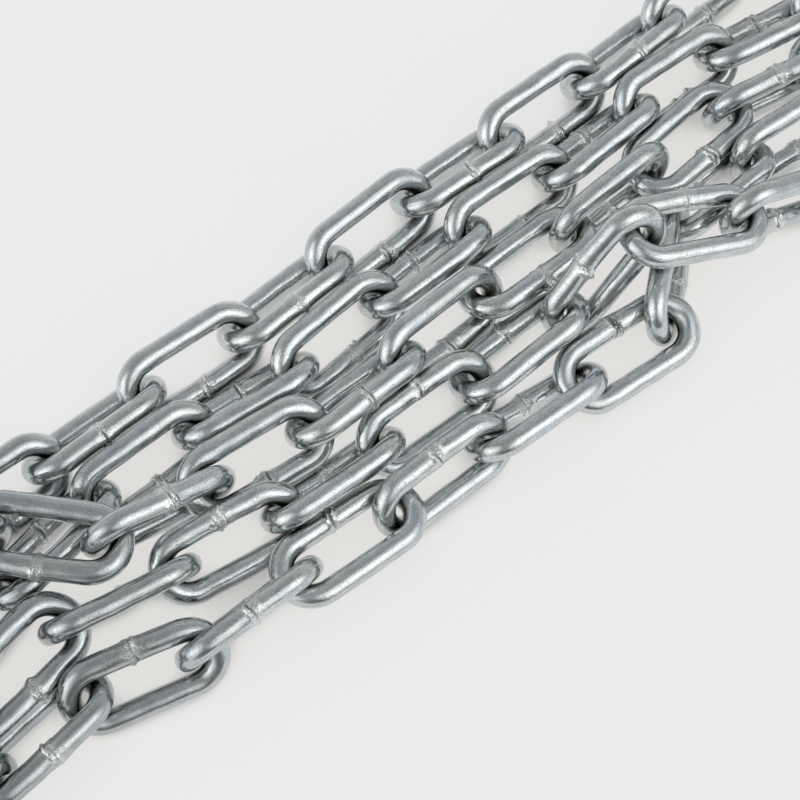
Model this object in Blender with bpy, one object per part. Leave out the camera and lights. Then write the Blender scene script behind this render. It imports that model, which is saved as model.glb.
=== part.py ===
"""A heap of zinc-plated welded steel chain: one length of sixty links folded to and fro.

Lengths are in millimetres and angles in degrees. The links are then placed in metres.
The runs of the chain lie along X. The far run is at +Y and the near run at -Y.
"""
import bpy
import numpy as np
from mathutils import Matrix

MM = 0.001

# One link
WIRE = 5.0             # diameter of the wire
INSIDE_LENGTH = 25.8   # length of the eye
LINK_WIDTH = 17.5      # width over both bars
WELD_SWELL = 1.12      # how much thicker the wire is at the weld
WELD_HALF = 1.0        # half the length of the full swell
WELD_TAPER = 2.4       # from the middle of the weld to where the wire is plain again
END_STEPS = 6          # straight pieces round each end of a link
SIDES = 8              # flats round the wire
END_RADIUS = (LINK_WIDTH - WIRE) / 2
BAR_HALF = (INSIDE_LENGTH + WIRE) / 2 - END_RADIUS

# How the links make room for one another
GAP = 0.3              # space kept between touching links
SLACK = 0.5            # how far hooked links may hang apart
SWING = 9.0            # how far from its centre a push must act to turn a link as much as move it
ROUNDS = 900           # most steps of shifting and turning
PUSH_SHARE = 1.4       # over one, so that the wires part in fewer steps
HOLD = 0.12            # share of the way back to its place that a link goes in the first step
HOLD_UNTIL = 0.8       # share of the steps after which a link is drawn back no more
SINK = 0.04            # how far the links come down in a step
SINK_UNTIL = 0.6       # share of the steps after which they come down no more
REACH = 2.5            # wires further apart than this are left out for the next few steps
REACH_STEPS = 8        # steps between two searches for wires that are near
DONE = 0.004           # a lack of room too small to matter

# Each row is one link: where on the floor it hooks into the link before it, the roll of the
# link about its own length, and the height of that hook where it is held up by what lies
# under it (0 where the links lie as low as they can). The roll is the slope of the line from
# the welded bar to the plain bar. At 0 the link lies flat with its plain bar on the +Y side,
# and at 90 it stands on its weld. Neighbours are about a quarter turn apart.
# Measured from the photograph, or chosen where the photograph ends.
RUN_B = [
    (-164, 11, 70, 0), (-139, 9, -30, 0), (-114, 6, 45, 0), (-90, 15, 135, 0),
    (-65, 18, 52, 0), (-42, 19, 135, 0), (-16, 16, 48, 0), (9.5, 20.5, 137, 0),
    (36.5, 22, 45, 0), (61, 19.5, 135, 0), (88, 21.5, 45, 0), (111, 21.5, 135, 0),
    (136, 18, 70, 0),
]
TURN_B_A = [(155, 33, -10, 0)]
RUN_A = [
    (131, 39, 60, 0), (106.5, 36, -45, 0), (82.5, 34.5, 45, 0), (58, 34.5, -37, 0),
    (32, 34.5, 45, 0), (7, 33, -39, 0), (-19.5, 30, 41, 0), (-43.5, 32, -46, 0),
    (-73.5, 28.5, 45, 0), (-96, 32.5, -70, 0),
]
TURN_A_C = [(-119, 41, 5, 0)]
RUN_C = [
    (-113, 18, 80, 12), (-89, 24, -12, 20), (-69, 9, -85, 14), (-45, 5.5, 35, 0),
    (-22.5, 1, -45, 0), (3.5, 3.5, 62, 0), (29, 6, -20, 0), (52, 7, 85, 0),
    (78.5, 8.5, 12, 0), (99.5, 8, -80, 0), (125, 7, 5, 0),
]
TURN_C_D = [(147, -5, 85, 0)]
RUN_D = [
    (132, -25, 5, 0), (106.5, -20, 85, 0), (78.5, -16, 175, 17), (59.5, -9, -112, 18),
    (39, -9, 148, 0), (14, -8.5, -135, 0), (-6, -7, 128, 0), (-36.5, -7.5, -145, 0),
    (-62.5, -4.5, 92, 0), (-89.5, 1.5, 15, 0), (-112, -5, -80, 0),
]
TURN_D_F = [(-135, -5, 5, 0)]
RUN_F = [
    (-137, -28, 85, 0), (-113, -17, -25, 0), (-92, -9.5, -135, 0), (-69, -22.5, -68, 0),
    (-41, -16, 167, 0), (-17, -22, -118, 0), (4.5, -20.5, 133, 0), (32, -22, -160, 0),
]
TURN_F_W = [(54.5, -26, 58, 0)]
RUN_W = [(75.5, -1.5, 145, 0), (98, -4, 70, 0)]
FREE_END = (122.5, -6)

COURSE = [*RUN_B, *TURN_B_A, *RUN_A, *TURN_A_C, *RUN_C, *TURN_C_D, *RUN_D, *TURN_D_F,
          *RUN_F, *TURN_F_W, *RUN_W]


def link_centre_line():
    """Points along the middle of the wire of one link, with the radius of the wire at each.

    The link lies along X in the XY plane and its weld is on the -Y bar.
    """
    turns = np.radians(np.linspace(-90, 90, END_STEPS + 1))
    right = [(BAR_HALF + END_RADIUS * np.cos(t), END_RADIUS * np.sin(t)) for t in turns]
    left = [(-x, -y) for x, y in right]
    weld = [(x, -END_RADIUS) for x in (-WELD_TAPER, -WELD_HALF, WELD_HALF, WELD_TAPER)]
    points = np.array([(x, y, 0.0) for x, y in right + left + weld])
    radii = np.full(len(points), WIRE / 2)
    radii[-3:-1] *= WELD_SWELL
    return points, radii


def first_poses():
    """Centre and axes of every link as the tables give them, before any link makes room."""
    rolls = np.radians([row[2] for row in COURSE])
    lying = WIRE / 2 + END_RADIUS * np.abs(np.sin(rolls))
    joints = np.zeros((len(COURSE) + 1, 3))
    joints[:-1, :2] = [row[:2] for row in COURSE]
    joints[-1, :2] = FREE_END
    joints[0, 2], joints[-1, 2] = lying[0], lying[-1]
    joints[1:-1, 2] = (lying[1:] + lying[:-1]) / 2
    for joint, row in zip(joints, COURSE):
        if row[3]:
            joint[2] = row[3]
    along = np.diff(joints, axis=0)
    along /= np.linalg.norm(along, axis=1)[:, None]
    side = np.cross((0.0, 0.0, 1.0), along)
    side /= np.linalg.norm(side, axis=1)[:, None]
    side[side[:, 1] < 0] *= -1
    rise = np.cross(along, side)
    rise[rise[:, 2] < 0] *= -1
    across = np.cos(rolls)[:, None] * side + np.sin(rolls)[:, None] * rise
    axes = np.stack([along, across, np.cross(along, across)], axis=2)
    return (joints[1:] + joints[:-1]) / 2, axes


def closest_points(start_a, end_a, start_b, end_b):
    """The nearest points of two straight pieces, for many pairs of pieces at once."""
    a = end_a - start_a
    b = end_b - start_b
    r = start_a - start_b
    aa = (a * a).sum(1)
    bb = (b * b).sum(1)
    ab = (a * b).sum(1)
    ar = (a * r).sum(1)
    br = (b * r).sum(1)
    spread = aa * bb - ab * ab
    s = np.where(spread > 1e-9, (ab * br - ar * bb) / np.maximum(spread, 1e-9), 0.5)
    s = np.clip(s, 0, 1)
    t = np.clip((ab * s + br) / bb, 0, 1)
    s = np.clip((ab * t - ar) / aa, 0, 1)
    return start_a + s[:, None] * a, start_b + t[:, None] * b


def small_turns(vectors):
    """Rotation matrices for small rotation vectors."""
    angle = np.linalg.norm(vectors, axis=1)
    axis = vectors / np.maximum(angle, 1e-12)[:, None]
    cross = np.zeros((len(vectors), 3, 3))
    cross[:, 0, 1], cross[:, 0, 2] = -axis[:, 2], axis[:, 1]
    cross[:, 1, 0], cross[:, 1, 2] = axis[:, 2], -axis[:, 0]
    cross[:, 2, 0], cross[:, 2, 1] = -axis[:, 1], axis[:, 0]
    sine = np.sin(angle)[:, None, None]
    cosine = np.cos(angle)[:, None, None]
    return np.eye(3) + sine * cross + (1 - cosine) * (cross @ cross)


class Pushes:
    """Pushes on the links, gathered and then applied all at once."""

    def __init__(self, centres):
        self.centres = centres
        self.move = np.zeros_like(centres)
        self.turn = np.zeros_like(centres)
        self.count = np.zeros(len(centres))

    def weight(self, link, point, direction):
        """How far a push of one carries the link at that point, by shift and turn together."""
        arm = np.cross(point - self.centres[link], direction)
        return 1 + (arm * arm).sum(1) / SWING ** 2

    def add(self, link, point, direction, amount):
        arm = np.cross(point - self.centres[link], direction)
        np.add.at(self.move, link, amount[:, None] * direction)
        np.add.at(self.turn, link, amount[:, None] * arm / SWING ** 2)
        np.add.at(self.count, link, 1)

    def apart(self, first, second, point_a, point_b, direction, distance):
        """Push two links apart, or together where the distance is negative."""
        weight = self.weight(first, point_a, direction) + self.weight(second, point_b, direction)
        self.add(first, point_a, direction, distance / weight)
        self.add(second, point_b, -direction, distance / weight)


def near_pairs(start, end, owner):
    """Pairs of straight pieces, of two links, that are near enough to touch soon."""
    middle = (start + end) / 2
    half = np.linalg.norm(end - start, axis=1) / 2
    distance = np.linalg.norm(middle[:, None] - middle[None], axis=2)
    near = distance < half[:, None] + half[None] + WIRE + REACH
    return np.nonzero(near & (owner[:, None] < owner[None]))


def part_wires(pushes, start, end, owner, radius, pairs):
    """Push apart the pieces that lack room, and return the most that any of them lacks."""
    first, second = pairs
    near_a, near_b = closest_points(start[first], end[first], start[second], end[second])
    distance = np.linalg.norm(near_a - near_b, axis=1)
    lack = radius[first] + radius[second] + GAP - distance
    hit = lack > 0
    direction = (near_a - near_b)[hit] / distance[hit][:, None]
    pushes.apart(owner[first[hit]], owner[second[hit]], near_a[hit], near_b[hit],
                 direction, lack[hit])
    return lack.max(initial=0)


def lift_from_floor(pushes, points, owner, radius):
    """Push up what is below the floor, and return the most that anything is below it."""
    sunk = radius - points[:, 2]
    low = sunk > 0
    up = np.tile((0.0, 0.0, 1.0), (low.sum(), 1))
    weight = pushes.weight(owner[low], points[low], up)
    pushes.add(owner[low], points[low], up, sunk[low] / weight)
    return sunk.max()


def hook_neighbours(pushes, world):
    """Draw each link back to the next one where the right end of the one has left the left
    end of the other."""
    links = np.arange(len(world) - 1)
    right, left = np.meshgrid(np.arange(END_STEPS), np.arange(END_STEPS) + END_STEPS + 1)
    first = np.repeat(links, right.size)
    piece_a = np.tile(right.ravel(), len(links))
    piece_b = np.tile(left.ravel(), len(links))
    near_a, near_b = closest_points(world[first, piece_a], world[first, piece_a + 1],
                                    world[first + 1, piece_b], world[first + 1, piece_b + 1])
    distance = np.linalg.norm(near_a - near_b, axis=1).reshape(len(links), -1)
    best = distance.argmin(axis=1) + links * right.size
    distance = distance.min(axis=1)
    loose = distance > WIRE + GAP + SLACK
    best, distance = best[loose], distance[loose]
    direction = (near_a[best] - near_b[best]) / distance[:, None]
    pushes.apart(first[best], first[best] + 1, near_a[best], near_b[best], direction,
                 WIRE + GAP - distance)


def make_room(centres, axes):
    """Shift and turn the links by small steps until every wire clears all the others.

    Each link starts where the tables put it. Neighbours stay hooked, nothing sinks into the
    floor, and a link with nothing under it comes down onto the floor.
    """
    points, radii = link_centre_line()
    count, pieces = len(centres), len(points)
    following = np.roll(np.arange(pieces), -1)
    owner = np.repeat(np.arange(count), pieces)
    piece_radius = np.tile((radii + radii[following]) / 2, count)
    point_radius = np.tile(radii, count)
    aim, aim_axes = centres.copy(), axes.copy()
    for step in range(ROUNDS):
        progress = step / ROUNDS
        world = centres[:, None, :] + points @ axes.transpose(0, 2, 1)
        start = world.reshape(-1, 3)
        end = world[:, following].reshape(-1, 3)
        if step % REACH_STEPS == 0:
            pairs = near_pairs(start, end, owner)
        pushes = Pushes(centres)
        lack = part_wires(pushes, start, end, owner, piece_radius, pairs)
        sunk = lift_from_floor(pushes, start, owner, point_radius)
        hook_neighbours(pushes, world)
        if progress > SINK_UNTIL and max(lack, sunk) < DONE:
            break
        share = PUSH_SHARE / np.maximum(pushes.count, 1)[:, None]
        hold = HOLD * max(0.0, 1 - progress / HOLD_UNTIL)
        centres = centres + share * pushes.move
        centres[:, :2] += hold * (aim - centres)[:, :2]
        if progress < SINK_UNTIL:
            centres[:, 2] -= SINK
        astray = np.cross(axes, aim_axes, axis=1).sum(axis=2)
        axes = small_turns(share * pushes.turn + hold / 2 * astray) @ axes
    return centres, axes


def zinc():
    """Bright zinc plating on steel wire."""
    material = bpy.data.materials.new("zinc plated steel")
    material.use_nodes = True
    shader = material.node_tree.nodes["Principled BSDF"]
    shader.inputs["Base Color"].default_value = (0.52, 0.55, 0.57, 1.0)
    shader.inputs["Metallic"].default_value = 1.0
    shader.inputs["Roughness"].default_value = 0.32
    return material


def link_curve(material):
    """The wire of one link as a closed curve with a round section."""
    points, radii = link_centre_line()
    curve = bpy.data.curves.new("link wire", "CURVE")
    curve.dimensions = "3D"
    curve.twist_mode = "MINIMUM"
    curve.bevel_depth = WIRE / 2 * MM
    curve.bevel_resolution = (SIDES - 4) // 2
    curve.use_fill_caps = False
    spline = curve.splines.new("POLY")
    spline.points.add(len(points) - 1)
    for target, point, radius in zip(spline.points, points, radii):
        target.co = (*(point * MM), 1.0)
        target.radius = radius / (WIRE / 2)
        target.tilt = np.pi / SIDES
    spline.use_cyclic_u = True
    curve.materials.append(material)
    return curve


def build():
    """Put the links of the chain in their places, centred over the origin."""
    for item in list(bpy.data.objects):
        bpy.data.objects.remove(item, do_unlink=True)
    collection = bpy.data.collections.new("heap of steel chain")
    bpy.context.scene.collection.children.link(collection)
    curve = link_curve(zinc())
    centres, axes = make_room(*first_poses())
    points, radii = link_centre_line()
    world = centres[:, None, :] + points @ axes.transpose(0, 2, 1)
    low = (world - radii[None, :, None]).min(axis=(0, 1))
    high = (world + radii[None, :, None]).max(axis=(0, 1))
    centres -= ((low[0] + high[0]) / 2, (low[1] + high[1]) / 2, low[2])
    for number, (centre, frame) in enumerate(zip(centres, axes), start=1):
        link = bpy.data.objects.new(f"link_{number:02d}", curve)
        place = Matrix(frame.tolist()).to_4x4()
        place.translation = (centre * MM).tolist()
        link.matrix_world = place
        collection.objects.link(link)


build()
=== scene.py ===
"""Looks of the heap of zinc-plated welded steel chain: links, finish, floor, light and camera.

Lengths of a link are in millimetres, in the link's own frame: X along the link, Y from the
welded bar to the plain bar, Z out of the link's plane. Everything placed is in metres.
"""
import math

import bpy
import numpy as np
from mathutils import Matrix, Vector


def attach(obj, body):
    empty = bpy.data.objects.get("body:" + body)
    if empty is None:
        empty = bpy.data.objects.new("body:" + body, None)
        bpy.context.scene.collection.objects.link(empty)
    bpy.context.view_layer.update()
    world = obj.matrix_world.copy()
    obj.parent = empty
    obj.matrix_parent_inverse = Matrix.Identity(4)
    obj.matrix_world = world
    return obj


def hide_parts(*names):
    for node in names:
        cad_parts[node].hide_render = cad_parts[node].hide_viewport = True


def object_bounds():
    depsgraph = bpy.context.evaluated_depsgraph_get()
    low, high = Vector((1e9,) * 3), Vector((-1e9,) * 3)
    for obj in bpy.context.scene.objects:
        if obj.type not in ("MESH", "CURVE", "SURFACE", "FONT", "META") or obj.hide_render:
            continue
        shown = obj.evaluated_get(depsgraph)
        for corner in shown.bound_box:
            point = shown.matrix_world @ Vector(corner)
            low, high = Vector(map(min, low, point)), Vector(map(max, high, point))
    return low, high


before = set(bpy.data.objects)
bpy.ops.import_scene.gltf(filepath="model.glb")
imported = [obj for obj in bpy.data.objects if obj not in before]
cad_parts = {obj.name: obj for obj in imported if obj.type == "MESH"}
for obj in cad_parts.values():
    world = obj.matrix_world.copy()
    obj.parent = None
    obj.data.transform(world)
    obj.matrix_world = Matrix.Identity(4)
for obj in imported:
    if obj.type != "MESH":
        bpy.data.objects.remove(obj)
CAD_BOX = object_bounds()

MM = 0.001
TURN = 2 * math.pi

# One link
WIRE_RADIUS = 2.5
INSIDE_LENGTH = 25.8
LINK_WIDTH = 17.5
END_RADIUS = LINK_WIDTH / 2 - WIRE_RADIUS
BAR_HALF = INSIDE_LENGTH / 2 + WIRE_RADIUS - END_RADIUS
HALF_TURN = math.pi * END_RADIUS
WIRE_LENGTH = 4 * BAR_HALF + 2 * HALF_TURN
FLAT_RADIUS = WIRE_RADIUS * math.cos(math.pi / 8)   # to the flats of the eight-sided CAD wire
AT_WELD = 1.5          # only the weld has points of the CAD mesh this near the link's middle
FORWARD = (1.0, 0.3, 0.0)   # the side that a link's X axis points to

# Mesh of a link
ROUND = 48             # points round the wire
BEND_RINGS = 22        # rings round each end
BAR_STEP = 1.5         # spacing of the rings along the bars
WELD_ZONE = 3.3        # half the length of the finely ringed stretch
WELD_STEP = 0.11       # spacing of the rings at the weld
RELIEF_REACH = 9       # no weld relief further than this from the weld

# Unevenness of a link
PEAK = 0.30            # most that the welded bar is bent outwards at its weld
STEP = 0.16            # most that the two ends of the wire are out of line at the weld
STEP_LENGTH = 0.2      # over which the wire steps across, halfway
STEP_REACH = 5.0       # over which the bar comes back into line
TWIST = 0.10           # how far the link is out of flat
WAVER = 0.014          # each of the slow waves in the wire's radius
WAVES = 7              # how many of them there are

# Weld, in mm along the wire and out from it. Pairs are the least and the most.
SEAM_WANDER = 0.30
SWELL = (0.06, 0.20)
SWELL_PLACE = (-0.8, 0.8)
SWELL_REACH = 2.2
COLLARS = ((-0.60, 0.45, (0.02, 0.20)), (0.65, 0.50, (-0.04, 0.16)))   # place, width, height
COLLAR_WANDER = 0.26
COLLAR_MOST = 0.5
OPENING = (-0.7, 0.2)  # how open the crack is, apart from its wander round the wire
OPENING_WANDER = 1.0
CRACK_WIDTH = 0.14
CRACK_DEPTH = 0.35
# Beads of flash: how many, their height, their spread along the wire and their size
SMALL_BEADS = ((14, 22), (-0.16, 0.20), 1.3, (0.25, 0.5))
LARGE_BEADS = ((2, 6), (0.2, 0.45), 0.7, (0.4, 0.8))
GRIP_PLACE = 2.7
GRIP_SIZE = 1.2
GRIP_DEPTH = (0.02, 0.09)
SKIN = (1.5, 0.6)      # reach of the rough skin at the weld, and how much it varies
CRUST_REACH = (2.2, 4.8)
CRUST_WANDER = 1.0
CRUST_MOST = 0.75

# Large beads of flash that show in the photograph: place along the bar and height in mm, the
# angle round the wire from the outer side of the link, and the size of the bead
FLASH = {
    "link_05": ((0.4, -2.6, 0.4, 0.5),),
    "link_07": ((2.4, -2.7, 0.6, 0.45), (0.2, -2.2, 0.3, 0.8)),
    "link_11": ((2.5, -2.6, 1.2, 1.1), (-1.6, -2.6, 0.6, 0.9), (0.9, -2.4, 0.3, 0.6)),
    "link_17": ((0.9, -2.7, 0.7, 0.5),),
    "link_29": ((-0.2, -2.8, 0.6, 0.9), (1.0, -2.2, 0.3, 0.5)),
    "link_46": ((-2.2, 1.6, 0.6, 0.45), (-1.2, 1.3, 0.25, 0.5)),
    "link_52": ((-0.7, -2.7, 0.45, 0.5),),
}

# The weld that has come open in the photograph. Each line is a place along the bar in mm, a
# phase and a depth, where 1.5 and more is quite dark.
OPEN_WELD = "link_57"
OPEN_LINES = ((0.0, 1.0, 2.2), (0.5, 2.6, 1.6))
OPEN_WIDTH = 0.19

# Camera, from the photograph
AZIMUTH = -37.9
ELEVATION = 67.0
DISTANCE = 0.3490
AIM = (0.0037, -0.0062, 0.0)   # the point that lies at the middle of the picture
FOCAL_LENGTH = 72.0
SENSOR = 36.0

# Zinc
DULL = ((0.57, 0.62, 0.65, 1), (0.615, 0.64, 0.62, 1))        # bluish and greenish
CLEAN = ((0.725, 0.77, 0.785, 1), (0.765, 0.785, 0.765, 1))   # the same where it is cleaner
GRAIN = (0.30, 0.32, 0.33, 1)
PIT = (0.15, 0.16, 0.16, 1)
DRAWN_LINE = (0.24, 0.26, 0.26, 1)
MINUS_X_GREY = (0.31, 0.33, 0.345, 1)
CRUST = (0.40, 0.41, 0.35, 1)
# Painted highlight on the raised flash at the weld
RIM_HIGHLIGHT = (0.90, 0.91, 0.88, 1)
RIM_HIGHLIGHT_HEIGHT = 0.30      # weld relief in mm that gets the full painted highlight
CRACK = (0.10, 0.10, 0.09, 1)
# Painted shade where links lie close together: its colour, and how near another link must be
CREVICE_SHADE = (0.33, 0.335, 0.31, 1)
CREVICE_SHADE_REACH = 0.003
GRAIN_SHARE = 0.46     # most that each colour tints the zinc
PIT_SHARE = 0.45
LINE_SHARE = 0.4
MINUS_X_GREY_SHARE = 0.62
RIM_HIGHLIGHT_SHARE = 0.55
CRACK_SHARE = 0.65
LINE_DEPTH = 0.000030  # heights of the fine relief
GRAIN_DEPTH = 0.000017
PIT_DEPTH = 0.00003
CRUST_DEPTH = 0.00008
SKIN_DEPTH = 0.00022
SMOOTH = 0.085         # roughness of the zinc where it is smoothest
ROUGH = 0.15           # and where it is roughest
CRUST_ROUGHNESS = 0.12
MINUS_X_GREY_FROM = -0.045     # X at which the zinc starts to be greyer
MINUS_X_GREY_TO = -0.105       # X at which it is greyest

# Floor
FLOOR_SIZE = 6.0
FLOOR_DROP = 0.0001    # how far the floor lies below the wire
FLOOR_PAINT = (0.16, 0.16, 0.16, 1)
FLOOR_ROUGHNESS = 0.6
FLOOR_GLOW = (0.10, 0.66)   # glow under the chain, darkened there by painted shade, and away from it
FLOOR_SHADE_REACH = 0.006   # how near the chain the painted shade on the floor reaches
WARM_SHADE_REACH = 0.025    # how near the chain the floor's glow gets a painted warm tint
WARM_SHADE_TINT = (1.0, 0.988, 0.962, 1)
OPEN_TINT = (0.975, 0.985, 1.0, 1)

# Surroundings, which the zinc mirrors
LOW_WALL = (0.66, 0.67, 0.67, 1)
WALL = (0.54, 0.55, 0.56, 1)
CEILING = (0.41, 0.42, 0.43, 1)
# Each patch is an azimuth from the camera's own and an elevation, the cosines of the angles
# from there at which it starts and is full, and its colour
PATCHES = (
    (15, 10, 0.72, 0.96, (0.22, 0.22, 0.22, 1)),
    (60, 42, 0.76, 0.97, (1.34, 1.35, 1.36, 1)),
    (-60, 28, 0.80, 0.975, (1.32, 1.33, 1.34, 1)),
)


def link_pose(node):
    """Centre in mm and axes (as rows) of the link that a CAD node holds."""
    points = np.array([v.co for v in node.data.vertices]) / MM
    points = np.unique(points.round(4), axis=0)
    middle = points.mean(axis=0)
    axes = np.linalg.svd(points - middle, full_matrices=False)[2]
    local = (points - middle) @ axes.T
    at_weld = np.abs(local[:, 0]) < AT_WELD
    if local[at_weld, 1].mean() > 0:
        axes[1] *= -1
        local[:, 1] *= -1
    if axes[0] @ FORWARD < 0:
        axes[0] *= -1
        local[:, 0] *= -1
    axes[2] = np.cross(axes[0], axes[1])
    shift = (local[:, 0].max() + local[:, 0].min()) / 2
    lift = local[:, 1].max() - END_RADIUS - FLAT_RADIUS
    return middle + shift * axes[0] + lift * axes[1], axes


def ring_stations():
    """Distances along the wire from the middle of the weld, round the link and back to it."""
    fine = np.arange(0, WELD_ZONE, WELD_STEP)
    coarse = np.linspace(WELD_ZONE, BAR_HALF, round((BAR_HALF - WELD_ZONE) / BAR_STEP) + 1)
    out = np.concatenate([fine, coarse])
    bend = BAR_HALF + np.linspace(0, HALF_TURN, BEND_RINGS + 1)[1:]
    plain = BAR_HALF + HALF_TURN + np.arange(BAR_STEP, 2 * BAR_HALF, BAR_STEP)
    second = 3 * BAR_HALF + HALF_TURN + np.linspace(0, HALF_TURN, BEND_RINGS + 1)[:-1]
    return np.concatenate([out, bend, plain, second, WIRE_LENGTH - out[:0:-1]])


def centre_line(distance):
    """Place and outward direction of the wire's middle line at those distances."""
    place = np.zeros((len(distance), 3))
    outward = np.zeros((len(distance), 3))
    for i, d in enumerate(distance):
        if d <= BAR_HALF:
            place[i, :2], outward[i, :2] = (d, -END_RADIUS), (0, -1)
        elif d < BAR_HALF + HALF_TURN:
            turn = (d - BAR_HALF) / END_RADIUS - math.pi / 2
            outward[i, :2] = math.cos(turn), math.sin(turn)
            place[i] = END_RADIUS * outward[i] + (BAR_HALF, 0, 0)
        elif d <= 3 * BAR_HALF + HALF_TURN:
            place[i, :2], outward[i, :2] = (2 * BAR_HALF + HALF_TURN - d, END_RADIUS), (0, 1)
        elif d < WIRE_LENGTH - BAR_HALF:
            turn = (d - 3 * BAR_HALF - HALF_TURN) / END_RADIUS + math.pi / 2
            outward[i, :2] = math.cos(turn), math.sin(turn)
            place[i] = END_RADIUS * outward[i] - (BAR_HALF, 0, 0)
        else:
            place[i, :2], outward[i, :2] = (d - WIRE_LENGTH, -END_RADIUS), (0, -1)
    return place, outward


def hump(x, width):
    """A smooth bump that is 1 at 0 and falls off over the width."""
    return np.exp(-(x / width) ** 2)


def weld_relief(along, angle, beads, rng):
    """How far the skin stands out round the weld, in mm, and from 0 to 1 how open its crack is.

    The weld has a low swelling, a collar on each side of the seam, small and large beads of
    flash, the marks of the grips on both sides, and the beads that the photograph shows.
    """
    def uneven(size):
        waves = [size / n * np.sin(n * angle + rng.uniform(0, TURN)) for n in (1, 2, 3, 5)]
        return sum(waves)

    def bead(at, turn, size):
        away = np.angle(np.exp(1j * (angle - turn))) * WIRE_RADIUS
        return hump(np.hypot(along - at, away), size)

    seam = along + uneven(SEAM_WANDER)
    relief = rng.uniform(*SWELL) * hump(along - rng.uniform(*SWELL_PLACE), SWELL_REACH)
    for place, width, heights in COLLARS:
        height = np.clip(rng.uniform(*heights) + uneven(COLLAR_WANDER), 0, COLLAR_MOST)
        relief += height * hump(seam - place, width)
    opening = np.clip(rng.uniform(*OPENING) + uneven(OPENING_WANDER), 0, 1)
    crack = opening * hump(seam, CRACK_WIDTH)
    relief -= CRACK_DEPTH * crack
    for count, heights, spread, sizes in (SMALL_BEADS, LARGE_BEADS):
        for _ in range(rng.integers(*count)):
            height, at = rng.uniform(*heights), rng.normal(0, spread)
            relief += height * bead(at, rng.uniform(0, TURN), rng.uniform(*sizes))
    for side in (-1, 1):
        turn = rng.uniform(0, TURN)
        relief -= rng.uniform(*GRIP_DEPTH) * bead(side * GRIP_PLACE, turn, GRIP_SIZE)
    for at, turn, height, size in beads:
        relief += height * bead(at, turn, size)
    return relief * (np.abs(along) < RELIEF_REACH), crack


def open_seam(along, angle):
    """Two jagged lines round the wire, where a weld has come open."""
    lines = np.zeros_like(along)
    for start, phase, depth in OPEN_LINES:
        jag = 0.35 * np.sin(2 * angle + phase) + 0.22 * np.sin(5 * angle + 2 * phase)
        jag += 0.12 * np.sin(11 * angle)
        lines = np.maximum(lines, depth * hump(along - start + jag, OPEN_WIDTH))
    return lines * (0.75 + 0.25 * np.sin(3 * angle))


def waver(distance, angle, rng):
    """Slow unevenness of the wire's radius, in mm."""
    rise = np.zeros_like(distance)
    for _ in range(WAVES):
        waves, turns = rng.integers(1, 13), rng.integers(1, 4)
        phase = TURN * waves * distance / WIRE_LENGTH + turns * angle + rng.uniform(0, TURN)
        rise += WAVER * np.sin(phase)
    return rise


def bend_wire(place, distance, from_weld, rng):
    """Bend the middle line as in a real link: out at the weld, out of line there, and twisted."""
    on_weld_bar = np.abs(from_weld) < BAR_HALF
    towards_weld = np.where(on_weld_bar, 1 - np.abs(from_weld) / BAR_HALF, 0)
    place[:, 1] -= rng.uniform(0.0, PEAK) * towards_weld
    step = rng.uniform(-STEP, STEP)
    place[:, 2] += step * np.tanh(from_weld / STEP_LENGTH) * hump(from_weld, STEP_REACH)
    place[:, 2] += TWIST * np.sin(2 * TURN * distance / WIRE_LENGTH + rng.uniform(0, TURN))


def tube(name, points):
    """A closed ring of tube from points in rings, as a mesh."""
    rings = len(points)
    ring, corner = np.meshgrid(np.arange(rings), np.arange(ROUND), indexing="ij")
    next_ring, next_corner = (ring + 1) % rings, (corner + 1) % ROUND
    quads = np.stack([ring * ROUND + corner, ring * ROUND + next_corner,
                      next_ring * ROUND + next_corner, next_ring * ROUND + corner], axis=-1)
    mesh = bpy.data.meshes.new(name)
    mesh.from_pydata((points.reshape(-1, 3) * MM).tolist(), [], quads.reshape(-1, 4).tolist())
    mesh.shade_smooth()
    return mesh


def store(mesh, name, values):
    """Keep a value for every point of the mesh, for the material."""
    mesh.attributes.new(name, "FLOAT", "POINT").data.foreach_set("value", values.ravel())


def link_mesh(name, beads, opened, rng):
    """A round wire bent to a link, with an uneven flash at the weld.

    For the material, each point has its place along and across the straightened wire, and
    from 0 to 1 how near it is to the weld, how crusted it is, how far the flash stands out,
    which sets a painted highlight, and how open the crack is, which is over 1 where the weld
    has come open.
    """
    distance = ring_stations()
    place, outward = centre_line(distance)
    from_weld = np.where(distance > WIRE_LENGTH / 2, distance - WIRE_LENGTH, distance)
    bend_wire(place, distance, from_weld, rng)

    angle = np.linspace(0, TURN, ROUND, endpoint=False)
    along, around = np.meshgrid(from_weld, angle, indexing="ij")
    walked = np.meshgrid(distance, angle, indexing="ij")[0]
    relief, crack = weld_relief(along, around, beads, rng)
    if opened:
        crack = np.maximum(crack, open_seam(along, around))
    radius = WIRE_RADIUS + relief + waver(walked, around, rng)
    across = np.cos(around)[..., None] * outward[:, None, :]
    across = across + np.sin(around)[..., None] * np.array([0.0, 0.0, 1.0])
    mesh = tube(name, place[:, None, :] + radius[..., None] * across)

    offset = rng.uniform(0, 500, 3)
    wire = np.stack([walked, WIRE_RADIUS * np.cos(around), WIRE_RADIUS * np.sin(around)], axis=-1)
    wire = (wire + offset).reshape(-1, 3)
    weld = hump(along, SKIN[0] + SKIN[1] * np.sin(around + rng.uniform(0, TURN)))
    reach = rng.uniform(*CRUST_REACH) + CRUST_WANDER * np.sin(around + rng.uniform(0, TURN))
    crust = rng.uniform(0.0, CRUST_MOST) * hump(along, reach)
    mesh.attributes.new("wire", "FLOAT_VECTOR", "POINT").data.foreach_set("vector", wire.ravel())
    store(mesh, "weld", weld)
    store(mesh, "crust", crust)
    store(mesh, "crack", crack)
    # painted highlight: how far the flash stands out sets how near white it is painted
    store(mesh, "rim_highlight", np.clip(relief / RIM_HIGHLIGHT_HEIGHT, 0, 1))
    return mesh


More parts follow.
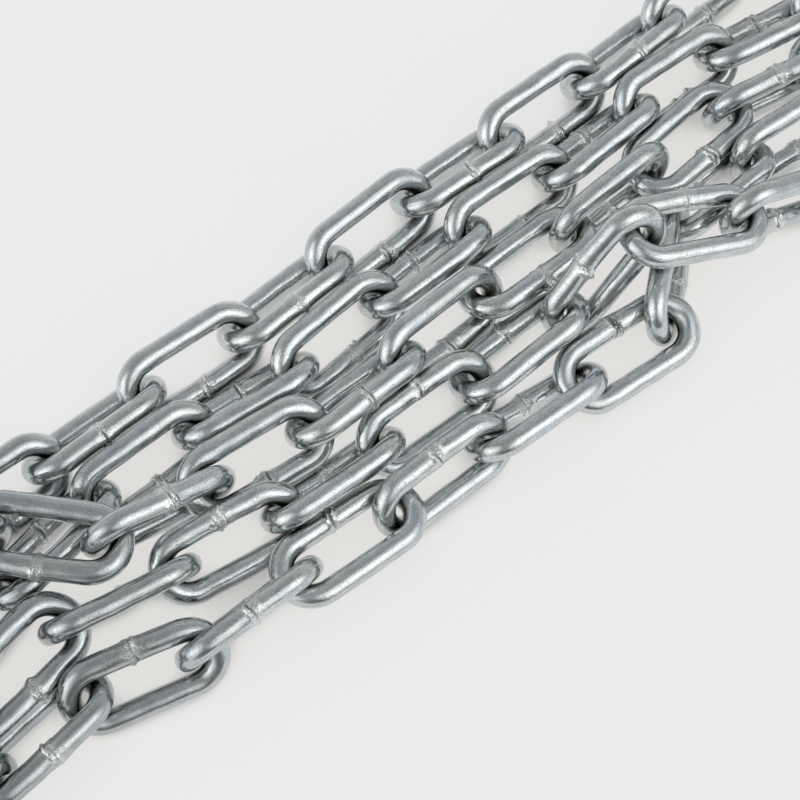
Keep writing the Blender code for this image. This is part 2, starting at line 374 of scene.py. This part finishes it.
def inside_box(points):
    """The same points, moved as one into the CAD model's box, and flattened on the floor."""
    low, high = np.array(CAD_BOX[0]), np.array(CAD_BOX[1])
    points = points + np.minimum(high - points.max(axis=0), 0)
    points[:, :2] += np.maximum(low - points.min(axis=0), 0)[:2]
    return np.maximum(points, low)


def place_link(name, node, material, rng):
    """Add the detailed link that stands for a CAD node, where the node is."""
    centre, axes = link_pose(node)
    mesh = link_mesh(name, FLASH.get(node.name, ()), node.name == OPEN_WELD, rng)
    co = np.zeros(len(mesh.vertices) * 3)
    mesh.vertices.foreach_get("co", co)
    placed = inside_box(co.reshape(-1, 3) @ axes + centre * MM)
    mesh.vertices.foreach_set("co", placed.ravel())
    # from 0 to 1, how far along towards -X the point lies, for the greyer tone there
    store(mesh, "minus_x_ramp", np.clip((MINUS_X_GREY_FROM - placed[:, 0]) / (MINUS_X_GREY_FROM - MINUS_X_GREY_TO), 0, 1))
    mesh.update()
    mesh.materials.append(material)
    link = bpy.data.objects.new(name, mesh)
    bpy.context.scene.collection.objects.link(link)
    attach(link, "root")
    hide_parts(node.name)


class Nodes:
    """Short ways to add and join the nodes of a material."""

    def __init__(self, tree):
        self.tree = tree

    def add(self, kind, **settings):
        node = self.tree.nodes.new(kind)
        for key, value in settings.items():
            if key in node.inputs:
                node.inputs[key].default_value = value
            else:
                setattr(node, key, value)
        return node

    def join(self, source, target):
        self.tree.links.new(source, target)

    def attribute(self, name, output="Fac"):
        return self.add("ShaderNodeAttribute", attribute_name=name).outputs[output]

    def open_air(self, samples, reach):
        """From 0 to 1, how free the surface is of others within reach."""
        node = self.add("ShaderNodeAmbientOcclusion", samples=samples, Distance=reach)
        return node.outputs["AO"]

    def noise(self, vector, scale, detail=2.0, roughness=0.5):
        node = self.add("ShaderNodeTexNoise", Scale=scale, Detail=detail, Roughness=roughness)
        self.join(vector, node.inputs["Vector"])
        return node.outputs["Fac"]

    def along(self, wire, scale):
        """The wire's coordinates, drawn out along the wire."""
        node = self.add("ShaderNodeVectorMath", operation="MULTIPLY")
        self.join(wire, node.inputs[0])
        node.inputs[1].default_value = (scale, 1.0, 1.0)
        return node.outputs[0]

    def remap(self, value, low, high, to_low=0.0, to_high=1.0):
        node = self.add("ShaderNodeMapRange")
        self.join(value, node.inputs["Value"])
        for key, number in zip(("From Min", "From Max", "To Min", "To Max"),
                               (low, high, to_low, to_high)):
            node.inputs[key].default_value = number
        return node.outputs["Result"]

    def maths(self, operation, a, b):
        """Join two values, each given as a number or as a socket."""
        node = self.add("ShaderNodeMath", operation=operation)
        for socket, value in zip(node.inputs, (a, b)):
            if isinstance(value, (int, float)):
                socket.default_value = value
            else:
                self.join(value, socket)
        return node.outputs[0]

    def mix(self, factor, a, b):
        """Mix two colours, each given as a colour or as a socket."""
        node = self.add("ShaderNodeMix", data_type="RGBA")
        self.join(factor, node.inputs["Factor"])
        for socket, value in zip([s for s in node.inputs if s.type == "RGBA"], (a, b)):
            if isinstance(value, tuple):
                socket.default_value = value
            else:
                self.join(value, socket)
        return next(s for s in node.outputs if s.type == "RGBA")

    def bump(self, height, distance, normal=None):
        node = self.add("ShaderNodeBump", Strength=1.0, Distance=distance)
        self.join(height, node.inputs["Height"])
        if normal is not None:
            self.join(normal, node.inputs["Normal"])
        return node.outputs["Normal"]


def zinc():
    """Bright zinc plating.

    It has a film with two tints, drawing lines along the wire, grain and pits. It is greyer
    towards one end of the heap. Round the weld it has a mottled crust, on it rims of flash
    with a painted highlight and a dark crack, and painted shade darkens it where links lie
    close together. The scales of the noises are per mm of wire.
    """
    material = bpy.data.materials.new("zinc plating")
    material.use_nodes = True
    nodes = Nodes(material.node_tree)
    shader = material.node_tree.nodes["Principled BSDF"]
    shader.inputs["Metallic"].default_value = 1.0
    wire = nodes.attribute("wire", "Vector")
    weld = nodes.attribute("weld")
    crust = nodes.attribute("crust")
    crack = nodes.attribute("crack")
    minus_x_ramp = nodes.attribute("minus_x_ramp")
    rim_highlight = nodes.attribute("rim_highlight")
    open_air = nodes.open_air(4, CREVICE_SHADE_REACH)

    blotch = nodes.noise(nodes.along(wire, 0.5), 0.6, 3.0)
    grain = nodes.noise(nodes.along(wire, 0.7), 4.2, 2.0, 0.7)
    lines = nodes.noise(nodes.along(wire, 0.06), 3.0, 2.0, 0.6)
    film = nodes.remap(nodes.noise(nodes.along(wire, 0.4), 0.33, 1.0), 0.38, 0.62)
    specks = nodes.noise(wire, 2.6, 1.0, 0.5)
    pits = nodes.maths("MULTIPLY", nodes.remap(specks, 0.64, 0.76), PIT_SHARE)
    mottled = nodes.maths("MULTIPLY", crust, nodes.remap(specks, 0.42, 0.58, 0.10, 0.90))

    tone = nodes.mix(nodes.remap(blotch, 0.35, 0.65), nodes.mix(film, *DULL),
                     nodes.mix(film, *CLEAN))
    tone = nodes.mix(nodes.remap(grain, 0.38, 0.60, GRAIN_SHARE, 0.0), tone, GRAIN)
    tone = nodes.mix(pits, tone, PIT)
    tone = nodes.mix(nodes.remap(lines, 0.56, 0.74, 0.0, LINE_SHARE), tone, DRAWN_LINE)
    # greyer towards the -X end of the heap, set by world position
    tone = nodes.mix(nodes.maths("MULTIPLY", minus_x_ramp, MINUS_X_GREY_SHARE), tone, MINUS_X_GREY)
    tone = nodes.mix(mottled, tone, CRUST)
    # painted highlight: the raised flash is painted near white
    tone = nodes.mix(nodes.maths("MULTIPLY", rim_highlight, RIM_HIGHLIGHT_SHARE), tone, RIM_HIGHLIGHT)
    tone = nodes.mix(nodes.maths("MULTIPLY", crack, CRACK_SHARE), tone, CRACK)
    # painted shade: the zinc is darker where other links lie within reach
    tone = nodes.mix(nodes.remap(open_air, 0.12, 0.72), CREVICE_SHADE, tone)
    nodes.join(tone, shader.inputs["Base Color"])

    rough = nodes.remap(blotch, 0.3, 0.7, SMOOTH, ROUGH)
    rough = nodes.maths("ADD", rough, nodes.maths("MULTIPLY", mottled, CRUST_ROUGHNESS))
    nodes.join(rough, shader.inputs["Roughness"])

    normal = nodes.bump(lines, LINE_DEPTH)
    normal = nodes.bump(grain, GRAIN_DEPTH, normal)
    normal = nodes.bump(pits, -PIT_DEPTH, normal)
    normal = nodes.bump(nodes.maths("MULTIPLY", specks, crust), CRUST_DEPTH, normal)
    normal = nodes.bump(nodes.maths("MULTIPLY", specks, weld), SKIN_DEPTH, normal)
    nodes.join(normal, shader.inputs["Normal"])
    return material


def floor():
    """A plain pale floor that glows, with painted shade close to the chain and a painted warm
    tint among it.
    """
    bpy.ops.mesh.primitive_plane_add(size=FLOOR_SIZE, location=(0, 0, -FLOOR_DROP))
    plane = bpy.context.object
    plane.name = "floor"
    material = bpy.data.materials.new("pale floor")
    material.use_nodes = True
    nodes = Nodes(material.node_tree)
    shader = material.node_tree.nodes["Principled BSDF"]
    shader.inputs["Base Color"].default_value = FLOOR_PAINT
    shader.inputs["Roughness"].default_value = FLOOR_ROUGHNESS
    beside = nodes.open_air(8, FLOOR_SHADE_REACH)
    # painted shade: the floor's glow is dimmer close to the chain
    glow = nodes.remap(beside, 0.05, 0.60, *FLOOR_GLOW)
    nodes.join(glow, shader.inputs["Emission Strength"])
    among = nodes.open_air(8, WARM_SHADE_REACH)
    # painted warm tint where the chain shades the floor
    tint = nodes.mix(nodes.remap(among, 0.5, 1.0), WARM_SHADE_TINT, OPEN_TINT)
    nodes.join(tint, shader.inputs["Emission Color"])
    plane.data.materials.append(material)


def from_aim(azimuth, elevation, distance):
    """A point seen from the aim at an azimuth from the camera's own, to its right if positive."""
    a, e = math.radians(AZIMUTH + azimuth), math.radians(elevation)
    back = Vector((math.sin(a) * math.cos(e), -math.cos(a) * math.cos(e), math.sin(e)))
    return Vector(AIM) + back * distance


def stand(name, data, place):
    """Add a light or a camera at a place, turned to the aim."""
    item = bpy.data.objects.new(name, data)
    item.location = place
    item.rotation_mode = "QUATERNION"
    item.rotation_quaternion = (item.location - Vector(AIM)).to_track_quat("Z", "Y")
    bpy.context.scene.collection.objects.link(item)
    return item


def soft_box(name, place, width, height, radiance, mirrored=True):
    """A rectangular light turned to the aim. One that isn't mirrored doesn't show in the zinc."""
    light = bpy.data.lights.new(name, "AREA")
    light.shape = "RECTANGLE"
    light.size, light.size_y = width, height
    light.energy = radiance * math.pi * width * height
    stand(name, light, from_aim(*place)).visible_glossy = mirrored


def surroundings():
    """A grey room, darker overhead, with a dark patch in front and two soft bright ones."""
    world = bpy.data.worlds.new("room")
    bpy.context.scene.world = world
    world.use_nodes = True
    nodes = Nodes(world.node_tree)
    direction = nodes.add("ShaderNodeTexCoord").outputs["Generated"]
    split = nodes.add("ShaderNodeSeparateXYZ")
    nodes.join(direction, split.inputs[0])
    height = split.outputs["Z"]
    shade = nodes.mix(nodes.remap(height, 0.0, 0.5), LOW_WALL, WALL)
    shade = nodes.mix(nodes.remap(height, 0.6, 0.9), shade, CEILING)
    for azimuth, elevation, start, full, colour in PATCHES:
        towards = (from_aim(azimuth, elevation, 1.0) - Vector(AIM)).normalized()
        facing = nodes.add("ShaderNodeVectorMath", operation="DOT_PRODUCT")
        nodes.join(direction, facing.inputs[0])
        facing.inputs[1].default_value = towards
        shade = nodes.mix(nodes.remap(facing.outputs["Value"], start, full), shade, colour)
    nodes.join(shade, world.node_tree.nodes["Background"].inputs["Color"])


def camera():
    """The camera that the photograph was taken with."""
    data = bpy.data.cameras.new("camera")
    data.lens = FOCAL_LENGTH
    data.sensor_width = SENSOR
    data.clip_start = 0.01
    bpy.context.scene.camera = stand("camera", data, from_aim(0, ELEVATION, DISTANCE))


def chain():
    """A detailed link over every CAD node."""
    material = zinc()
    for number, name in enumerate(sorted(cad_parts), start=1):
        place_link(f"chain_{name}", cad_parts[name], material, np.random.default_rng(number))


bpy.context.scene.view_settings.view_transform = "Standard"
camera()
surroundings()
floor()
soft_box("right", (60, 44, 1.3), 0.55, 0.6, 0.45)
soft_box("left", (-60, 28, 1.3), 0.5, 0.42, 0.41)
soft_box("overhead", (0, 88, 1.5), 2.6, 2.6, 0.65, mirrored=False)
chain()
